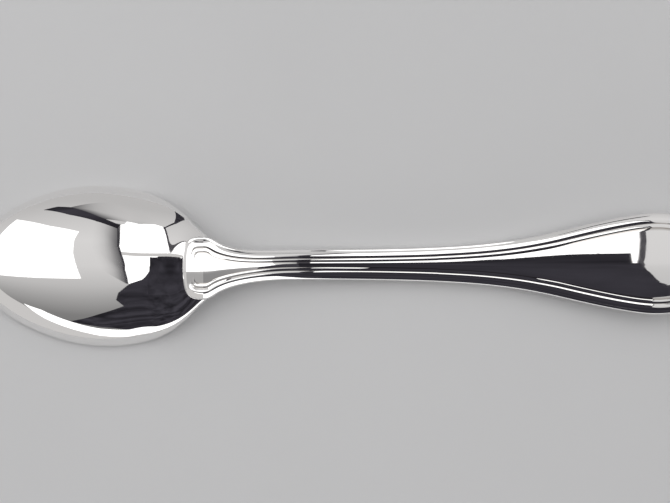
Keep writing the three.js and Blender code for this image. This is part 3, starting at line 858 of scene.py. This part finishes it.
def seam_rings(shape):
    """Rings of the solder film: the bowl's back under the heel, lifted to each side of the film."""
    x = np.linspace(X_HEEL_END + FILM_INSET, X_NECK - FILM_INSET / 2.0, SEAM_COLUMNS + 1)
    half_width = height_on(shape.handle_outline, x) - FILM_INSET
    half = {
        "x": np.concatenate([x[:1], x, x[-1:]]),
        "y": np.concatenate([[0.0], half_width, [0.0]]),
    }
    loop = mirrored(half, flipped=("y",))
    reach = np.sin(steps(SEAM_RINGS, QUARTER_TURN))
    y = loop["y"] * reach
    x = np.broadcast_to(loop["x"], y.shape)
    under = shape.bowl_back(x, y)
    top = np.stack([x, y, under + shape.handle.lap_gap - FILM_CLEARANCE], axis=-1)
    bottom = np.stack([x, y, under + FILM_CLEARANCE], axis=-1)[::-1]
    return np.concatenate([top, bottom])


def node_group(name, inputs, outputs):
    """An empty shader node group with named sockets, and its input and output nodes."""
    group = bpy.data.node_groups.new(name, "ShaderNodeTree")
    for socket_name, kind, default in inputs:
        socket = group.interface.new_socket(socket_name, in_out="INPUT", socket_type=kind)
        socket.default_value = default
    for socket_name, kind in outputs:
        group.interface.new_socket(socket_name, in_out="OUTPUT", socket_type=kind)
    entry = group.nodes.new("NodeGroupInput")
    leave = group.nodes.new("NodeGroupOutput")
    return group, entry, leave


def node(tree, kind, settings=None, **values):
    """A new node with its settings, and with its sockets set or linked by name."""
    made = tree.nodes.new(kind)
    for key, value in (settings or {}).items():
        setattr(made, key, value)
    for key, value in values.items():
        socket = made.inputs[key.replace("_", " ")]
        if isinstance(value, bpy.types.NodeSocket):
            tree.links.new(value, socket)
        else:
            socket.default_value = value
    return made


def set_stops(ramp, stops):
    """Give a colour ramp its stops, each a place from 0 to 1 and a colour."""
    elements = ramp.color_ramp.elements
    while len(elements) < len(stops):
        elements.new(0.5)
    for element, (place, tint) in zip(elements, stops):
        element.position = place
        element.color = (*tint, 1.0)


def object_place(tree):
    """The Object coordinates of the piece that a material is on."""
    return node(tree, "ShaderNodeTexCoord").outputs["Object"]


def hairline_group():
    """Fine scratches: two stretched noises turned across each other, cut down to thin bright lines."""
    inputs = [("Scale", "NodeSocketFloat", 900.0), ("Stretch", "NodeSocketFloat", SILVER_STRETCH)]
    group, entry, leave = node_group("hairline_scratches", inputs, [("Height", "NodeSocketFloat")])
    place = object_place(group)
    scale = entry.outputs["Scale"]
    stretch = node(group, "ShaderNodeCombineXYZ", X=entry.outputs["Stretch"], Y=1.0, Z=1.0)
    joined = node(group, "ShaderNodeMath", {"operation": "MAXIMUM"})
    for socket, angle in zip(joined.inputs, HAIRLINE_TURNS):
        turned = node(group, "ShaderNodeMapping", {"vector_type": "TEXTURE"}, Vector=place)
        turned.inputs["Rotation"].default_value = (0.0, 0.0, angle)
        group.links.new(stretch.outputs["Vector"], turned.inputs["Scale"])
        noise = node(group, "ShaderNodeTexNoise", Vector=turned.outputs["Vector"], Scale=scale, Detail=3.0)
        lines = node(group, "ShaderNodeMapRange", Value=noise.outputs["Fac"], From_Min=0.62, From_Max=0.8)
        group.links.new(lines.outputs["Result"], socket)
    group.links.new(joined.outputs["Value"], leave.inputs["Height"])
    return group


def handling_group():
    """Handling haze: a broad soft noise that says where the polish is duller, from 0 to 1."""
    inputs = [("Scale", "NodeSocketFloat", 160.0)]
    group, entry, leave = node_group("handling_haze", inputs, [("Mask", "NodeSocketFloat")])
    place = object_place(group)
    noise = node(group, "ShaderNodeTexNoise", Vector=place, Scale=entry.outputs["Scale"], Detail=4.0)
    mask = node(group, "ShaderNodeMapRange", Value=noise.outputs["Fac"], From_Min=0.45, From_Max=0.75)
    group.links.new(mask.outputs["Result"], leave.inputs["Mask"])
    return group


def finish_groups():
    """The two shared effects of the metals, made once: hairlines and haze."""
    if "hairline_scratches" in bpy.data.node_groups:
        return bpy.data.node_groups["hairline_scratches"], bpy.data.node_groups["handling_haze"]
    return hairline_group(), handling_group()


def new_material(name):
    """A new material and its node tree."""
    material = bpy.data.materials.new(name)
    material.use_nodes = True
    return material, material.node_tree


def metal_material(name, base, finish, stretch, dullness):
    """A polished metal: tarnish kept in the grooves, roughness from handling, and hairlines as bump."""
    hairlines, handling = finish_groups()
    material, tree = new_material(name)
    shader = tree.nodes["Principled BSDF"]
    shader.inputs["Metallic"].default_value = 1.0
    groove = node(tree, "ShaderNodeAttribute", {"attribute_name": "groove"})
    colours = node(tree, "ShaderNodeMix", {"data_type": "RGBA"})
    colours.inputs[MIX_FIRST].default_value = (*base, 1.0)
    colours.inputs[MIX_SECOND].default_value = (*finish.tarnish, 1.0)
    tree.links.new(groove.outputs["Fac"], colours.inputs[MIX_FACTOR])
    tree.links.new(colours.outputs[MIX_RESULT], shader.inputs["Base Color"])
    haze = node(tree, "ShaderNodeGroup", {"node_tree": handling})
    bright = finish.polish + dullness
    dull = finish.polish + finish.haze + dullness
    rough = node(tree, "ShaderNodeMapRange", Value=haze.outputs["Mask"], To_Min=bright, To_Max=dull)
    tree.links.new(rough.outputs["Result"], shader.inputs["Roughness"])
    scratches = node(tree, "ShaderNodeGroup", {"node_tree": hairlines})
    scratches.inputs["Stretch"].default_value = stretch
    bump = node(tree, "ShaderNodeBump", Height=scratches.outputs["Height"], Strength=finish.scratches)
    bump.inputs["Distance"].default_value = HAIRLINE_DEPTH
    tree.links.new(bump.outputs["Normal"], shader.inputs["Normal"])
    return material


def silver_material(finish):
    """The polished silver that the bowl and the handle share."""
    made = bpy.data.materials.get("polished_silver_finish")
    if made is None:
        made = metal_material("polished_silver_finish", finish.silver, finish, SILVER_STRETCH, 0.0)
    return made


def scene_shape(context):
    """The spoon's outlines and heights from the sizes kept in the scene."""
    scene = context.scene
    return SpoonShape(scene.spoon_bowl, scene.spoon_handle, scene.spoon_border)


class SPOON_OT_bowl(bpy.types.Operator):
    """Make the dished bowl with its fillet, lip and flat rim"""

    bl_idname = "spoon.bowl"
    bl_label = "Bowl"

    def execute(self, context):
        rings = bowl_rings(scene_shape(context))
        piece = skin("silver_bowl", rings, {"groove": np.zeros(rings.shape[:2])})
        piece.data.materials.append(silver_material(context.scene.spoon_finish))
        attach(piece, "root")
        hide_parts("bowl")
        return {"FINISHED"}


class SPOON_OT_handle(bpy.types.Operator):
    """Make the handle with its heel, neck, flared end and double thread border"""

    bl_idname = "spoon.handle"
    bl_label = "Handle"

    def execute(self, context):
        rings, groove = handle_rings(scene_shape(context))
        back_rings = FIELD_RINGS + THREAD_RINGS + BEAD_RINGS + ROLL_RINGS
        piece = skin("silver_handle", rings, {"groove": groove}, crease=(HEEL_COLUMNS, back_rings))
        piece.data.materials.append(silver_material(context.scene.spoon_finish))
        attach(piece, "root")
        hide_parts("handle")
        return {"FINISHED"}


class SPOON_OT_seam(bpy.types.Operator):
    """Make the film of hard solder between the heel and the bowl"""

    bl_idname = "spoon.seam"
    bl_label = "Solder seam"

    def execute(self, context):
        finish = context.scene.spoon_finish
        rings = seam_rings(scene_shape(context))
        piece = skin("solder_film", rings, {"groove": np.zeros(rings.shape[:2])})
        solder = metal_material(
            "hard_solder_finish", finish.solder, finish, SOLDER_STRETCH, SOLDER_DULLNESS
        )
        piece.data.materials.append(solder)
        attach(piece, "root")
        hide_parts("solder_seam")
        return {"FINISHED"}


def card_material(name):
    """A new material with no shader in it, its node tree, and the socket that takes the card's light."""
    material, tree = new_material(name)
    tree.nodes.remove(tree.nodes["Principled BSDF"])
    return material, tree, tree.nodes["Material Output"].inputs["Surface"]


def glow_material(name, tint, strength):
    """A card that only gives light, of one colour."""
    material, tree, surface = card_material(name)
    glow = node(tree, "ShaderNodeEmission", Color=(*tint, 1.0), Strength=strength)
    tree.links.new(glow.outputs["Emission"], surface)
    return material


def cloth_material():
    """Dark cloth that only shows in reflections: a streaky noise between two near blacks."""
    material, tree, surface = card_material("dark_cloth")
    streaks = node(tree, "ShaderNodeTexNoise", Vector=object_place(tree), Scale=12.0, Detail=4.0)
    ramp = node(tree, "ShaderNodeValToRGB", Fac=streaks.outputs["Fac"])
    set_stops(ramp, [(0.35, CLOTH_DARK), (0.7, CLOTH_PALE)])
    glow = node(tree, "ShaderNodeEmission", Color=ramp.outputs["Color"])
    tree.links.new(glow.outputs["Emission"], surface)
    return material


def shade_material():
    """A soft shadow beside a panel: clear at one side of its card and nearly black at the other."""
    material, tree, surface = card_material("soft_shade")
    across = node(tree, "ShaderNodeAttribute", {"attribute_name": "across"})
    ramp = node(tree, "ShaderNodeValToRGB", Fac=across.outputs["Fac"])
    set_stops(ramp, [(place, (cover, cover, cover)) for place, cover in SHADE_COVERS])
    clear = node(tree, "ShaderNodeBsdfTransparent")
    glow = node(tree, "ShaderNodeEmission", Color=(*SHADE_BLACK, 1.0))
    both = node(tree, "ShaderNodeMixShader", Fac=ramp.outputs["Color"])
    tree.links.new(clear.outputs["BSDF"], both.inputs[1])
    tree.links.new(glow.outputs["Emission"], both.inputs[2])
    tree.links.new(both.outputs["Shader"], surface)
    return material


def card(name, corners, material, cover=(0.0, 1.0)):
    """A flat card of the studio, from its corners in millimetres, seen only in reflections.

    A soft shade has four corners, and its cover goes from its first value at the first and last corner to
    its second value at the two between.
    """
    points = np.array(corners, dtype=float) * MM
    mesh = bpy.data.meshes.new(name)
    mesh.from_pydata(points.tolist(), [], [list(range(len(points)))])
    mesh.materials.append(material)
    if len(points) == 4:
        across = mesh.attributes.new("across", "FLOAT", "POINT")
        across.data.foreach_set("value", [cover[0], cover[1], cover[1], cover[0]])
    made = bpy.data.objects.new(name, mesh)
    bpy.context.scene.collection.objects.link(made)
    made.visible_camera = False
    return made


def level(height, *places):
    """Corners of a level card: plan places at one height."""
    return [(x, y, height) for x, y in places]


def paper_material(tint):
    """Pale matt paper: two soft noises shift its tone a little and give it a fine tooth."""
    material, tree = new_material("pale_paper")
    shader = tree.nodes["Principled BSDF"]
    shader.inputs["Specular IOR Level"].default_value = 0.2
    place = object_place(tree)
    cloud = node(tree, "ShaderNodeTexNoise", Vector=place, Scale=18.0, Detail=3.0)
    tone = node(tree, "ShaderNodeMapRange", Value=cloud.outputs["Fac"], To_Min=0.97, To_Max=1.03)
    shade = node(tree, "ShaderNodeMix", {"data_type": "RGBA", "blend_type": "MULTIPLY"})
    shade.inputs[MIX_FACTOR].default_value = 1.0
    shade.inputs[MIX_FIRST].default_value = (*tint, 1.0)
    tree.links.new(tone.outputs["Result"], shade.inputs[MIX_SECOND])
    tree.links.new(shade.outputs[MIX_RESULT], shader.inputs["Base Color"])
    tooth = node(tree, "ShaderNodeTexNoise", Vector=place, Scale=2500.0, Detail=2.0)
    rough = node(tree, "ShaderNodeMapRange", Value=tooth.outputs["Fac"], To_Min=0.7, To_Max=0.9)
    tree.links.new(rough.outputs["Result"], shader.inputs["Roughness"])
    bump = node(tree, "ShaderNodeBump", Height=tooth.outputs["Fac"], Strength=0.15, Distance=PAPER_TOOTH)
    tree.links.new(bump.outputs["Normal"], shader.inputs["Normal"])
    return material


def make_floor(tint):
    """A wide sheet of paper just under the spoon."""
    mesh = bpy.data.meshes.new("paper_floor")
    sides = [(-1.0, -1.0), (1.0, -1.0), (1.0, 1.0), (-1.0, 1.0)]
    corners = [(x * PAPER_REACH, y * PAPER_REACH, -PAPER_UNDER) for x, y in sides]
    mesh.from_pydata(corners, [], [[0, 1, 2, 3]])
    mesh.materials.append(paper_material(tint))
    floor = bpy.data.objects.new("paper_floor", mesh)
    bpy.context.scene.collection.objects.link(floor)


def make_world():
    """Grey studio walls: brighter overhead, a little darker behind, darkest in front."""
    world = bpy.data.worlds.new("studio_walls")
    world.use_nodes = True
    tree = world.node_tree
    coordinates = node(tree, "ShaderNodeTexCoord")
    parts = node(tree, "ShaderNodeSeparateXYZ", Vector=coordinates.outputs["Generated"])
    across = node(tree, "ShaderNodeMapRange", Value=parts.outputs["Y"], From_Min=-1.0)
    ramp = node(tree, "ShaderNodeValToRGB", Fac=across.outputs["Result"])
    set_stops(ramp, [(place, (grey, grey * WALL_WARMTH, grey * WALL_WARMTH)) for place, grey in WALL_GREYS])
    tree.links.new(ramp.outputs["Color"], tree.nodes["Background"].inputs["Color"])
    bpy.context.scene.world = world


def make_panels(white, grey, dark, shade):
    """White panels overhead and at both sides, a grey bar, dark frames and the shadows beside them."""
    over_left = [(-119, -184), (-128, -36), (-127, 30), (-129, 90), (-131, 150), (-131, 220), (-113, 474)]
    over_rest = [(-104, 530), (-80, 573), (-66, 640), (10, 644), (95, 586), (140, 239), (140, -184)]
    card("panel_over", level(PANEL_HEIGHT, *over_left, *over_rest), white)
    card("panel_bar", level(BAR_HEIGHT, (-50, 22), (8, 22), (8, 29), (-50, 29)), grey)
    left = [
        (-249, -129), (-267, 117), (-268, 268), (-258, 372), (-419, 514), (-1064, 1236), (-1330, 1540),
        (-1240, 860), (-1230, -285),
    ]
    card("panel_left", level(PANEL_HEIGHT, *left), white)
    right = [(193, -100), (193, 217), (349, 404), (1320, 1570), (1240, 860), (1230, -285)]
    card("panel_right", level(PANEL_HEIGHT, *right), white)

    edge = [(95, 586), (118, 590), (158, 239), (158, -184), (140, -184), (140, 239)]
    card("frame_right", level(PANEL_FRAME_HEIGHT, *edge), dark)
    strip = [(190, -184), (158, -184), (158, 239), (190, 239)]
    card("shade_frame", level(FRAME_SHADE_HEIGHT, *strip), shade, cover=(0.0, 0.7))
    outer_edge = [(x - LEFT_FRAME_WIDTH, y) for x, y in reversed(over_left)]
    card("frame_left", level(PANEL_FRAME_HEIGHT, *over_left, *outer_edge), dark)
    strip = [(160, -100), (160, -520), (1230, -900), (1230, -285)]
    card("shade_right", level(PANEL_FRAME_HEIGHT, *strip), shade, cover=(0.5, 0.8))


def make_corners(cloth, shade):
    """Soft shadows between the left and upper panels, and dark slips in the far corners."""
    strip = [(-122, 300), (-68, 290), (-84, 110), (-128, 110)]
    card("shade_left", level(NEAR_HEIGHT, *strip), shade)
    strip = [(-128, 110), (-84, 110), (-82, -20), (-114, -20)]
    card("shade_left_middle", level(NEAR_HEIGHT, *strip), shade)
    strip = [(-114, -20), (-82, -20), (-79, -96), (-82, -96)]
    card("shade_left_front", level(NEAR_HEIGHT, *strip), shade)

    left = (520, LOW_CORNER_PLACE)
    right = (820, LOW_CORNER_PLACE)
    slip = [(32, 288), (44, 288), (166, 428), right, left, (140, 432)]
    card("corner_right", level(NEAR_HEIGHT, *slip), cloth)
    card("corner_right_low", [*level(NEAR_HEIGHT, right, left), *level(0.0, left, right)], cloth)
    slip = [(-43, 59), (-52, 70), (-77, 96), (-136, 180), (-113, 178), (-88, 147), (-52, 86), (-41, 68)]
    made = card("corner_left", level(SLIP_HEIGHT, *slip), cloth)
    made.visible_diffuse = False
    strip = [(-10, 197), (-72, 197), (-162, 356), (-60, 520)]
    card("shade_back", level(BACK_SHADE_HEIGHT, *strip), shade, cover=(0.0, 0.95))


def make_front(white, grey, cloth):
    """Dark cloth over the spoon and in front of it, with a low white strip and a grey wall beyond."""
    hood = [
        (67, 54), (6, 54), (2, 50), (-8, 48), (-19, 48), (-34, 49), (-34, 4), (-36, 4), (-38, -41),
        (-41, -60), (-43, -68), (-45, -76), (-45, -150), (67, -150),
    ]
    card("cloth_hood", level(HOOD_HEIGHT, *hood), cloth)
    front = [
        (98, 44), (-30, -10), (-36, -18), (-50, -46), (-64, -80), (-79, -104), (-97, -167), (-100, -223),
        (-82, -289), (-161, -407), (-292, -604), (-195, -686), (-110, -826), (35, -1359), (1300, -1359),
        (700, -745), (420, -470), (240, -330), (142, -250), (134, -109),
    ]
    card("cloth_front", level(CLOTH_HEIGHT, *front), cloth)
    strip = [
        (620, 15), (620, 200), (10, 215), (-109, 311), (-324, 480), (-470, 595), (-600, 594), (-390, 349),
        (-172, 179), (-60, 60), (0, 15),
    ]
    card("panel_low", [(x, LOW_PANEL_PLACE, z) for x, z in strip], white)
    wall = [(-2500, 1700), (-1073, 747), (-779, 620), (-600, 560), (0, 60), (0, 0), (-2500, 0)]
    card("wall_low", [(x, LOW_WALL_PLACE, z) for x, z in wall], grey)


def make_cards(stage):
    """The studio's cards: white panels, the greys between them, and dark cloth."""
    white = glow_material("white_panel", PANEL_WHITE, stage.panel_glow)
    grey = glow_material("grey_wall", CARD_GREY, 1.0)
    dark = glow_material("panel_frame", FRAME_BLACK, 1.0)
    cloth = cloth_material()
    shade = shade_material()
    make_panels(white, grey, dark, shade)
    make_corners(cloth, shade)
    make_front(white, grey, cloth)


def make_camera(stage):
    """A camera looking straight down, with the spoon's length across the picture."""
    data = bpy.data.cameras.new("overhead_camera")
    data.lens = stage.lens
    data.sensor_fit = "HORIZONTAL"
    camera = bpy.data.objects.new("overhead_camera", data)
    camera.location = (stage.camera_x, stage.camera_y, stage.camera_height)
    bpy.context.scene.collection.objects.link(camera)
    bpy.context.scene.camera = camera


class SPOON_OT_stage(bpy.types.Operator):
    """Make the paper, the studio light and the camera"""

    bl_idname = "spoon.stage"
    bl_label = "Stage"

    def execute(self, context):
        stage = context.scene.spoon_stage
        context.scene.view_settings.view_transform = "Standard"
        make_camera(stage)
        make_floor(stage.paper)
        make_world()
        make_cards(stage)
        return {"FINISHED"}


class SPOON_PT_sidebar(bpy.types.Panel):
    """Lists the spoon's pieces and their sizes"""

    bl_label = "Demitasse spoon"
    bl_idname = "SPOON_PT_sidebar"
    bl_space_type = "VIEW_3D"
    bl_region_type = "UI"
    bl_category = "Spoon"

    def draw(self, context):
        layout = self.layout
        for operator in OPERATORS:
            layout.operator(operator.bl_idname)
        for pointer in SETTINGS:
            box = layout.box()
            group = getattr(context.scene, pointer)
            box.label(text=group.__doc__.split(",")[0])
            for key in group.__annotations__:
                box.prop(group, key)


OPERATORS = (SPOON_OT_stage, SPOON_OT_bowl, SPOON_OT_handle, SPOON_OT_seam)
SETTINGS = {
    "spoon_bowl": BowlSizes,
    "spoon_handle": HandleSizes,
    "spoon_border": BorderSizes,
    "spoon_finish": SilverFinish,
    "spoon_stage": StageSettings,
}
CLASSES = (*SETTINGS.values(), *OPERATORS, SPOON_PT_sidebar)


def register():
    """Add the classes, and the settings that each scene keeps."""
    for made in CLASSES:
        bpy.utils.register_class(made)
    for pointer, group in SETTINGS.items():
        setattr(bpy.types.Scene, pointer, PointerProperty(type=group))


def unregister():
    """Take the settings and the classes away again."""
    for pointer in SETTINGS:
        delattr(bpy.types.Scene, pointer)
    for made in reversed(CLASSES):
        bpy.utils.unregister_class(made)


def main():
    """Register, make the stage and every piece."""
    register()
    bpy.ops.spoon.stage()
    bpy.ops.spoon.bowl()
    bpy.ops.spoon.handle()
    bpy.ops.spoon.seam()


if __name__ == "__main__":
    main()
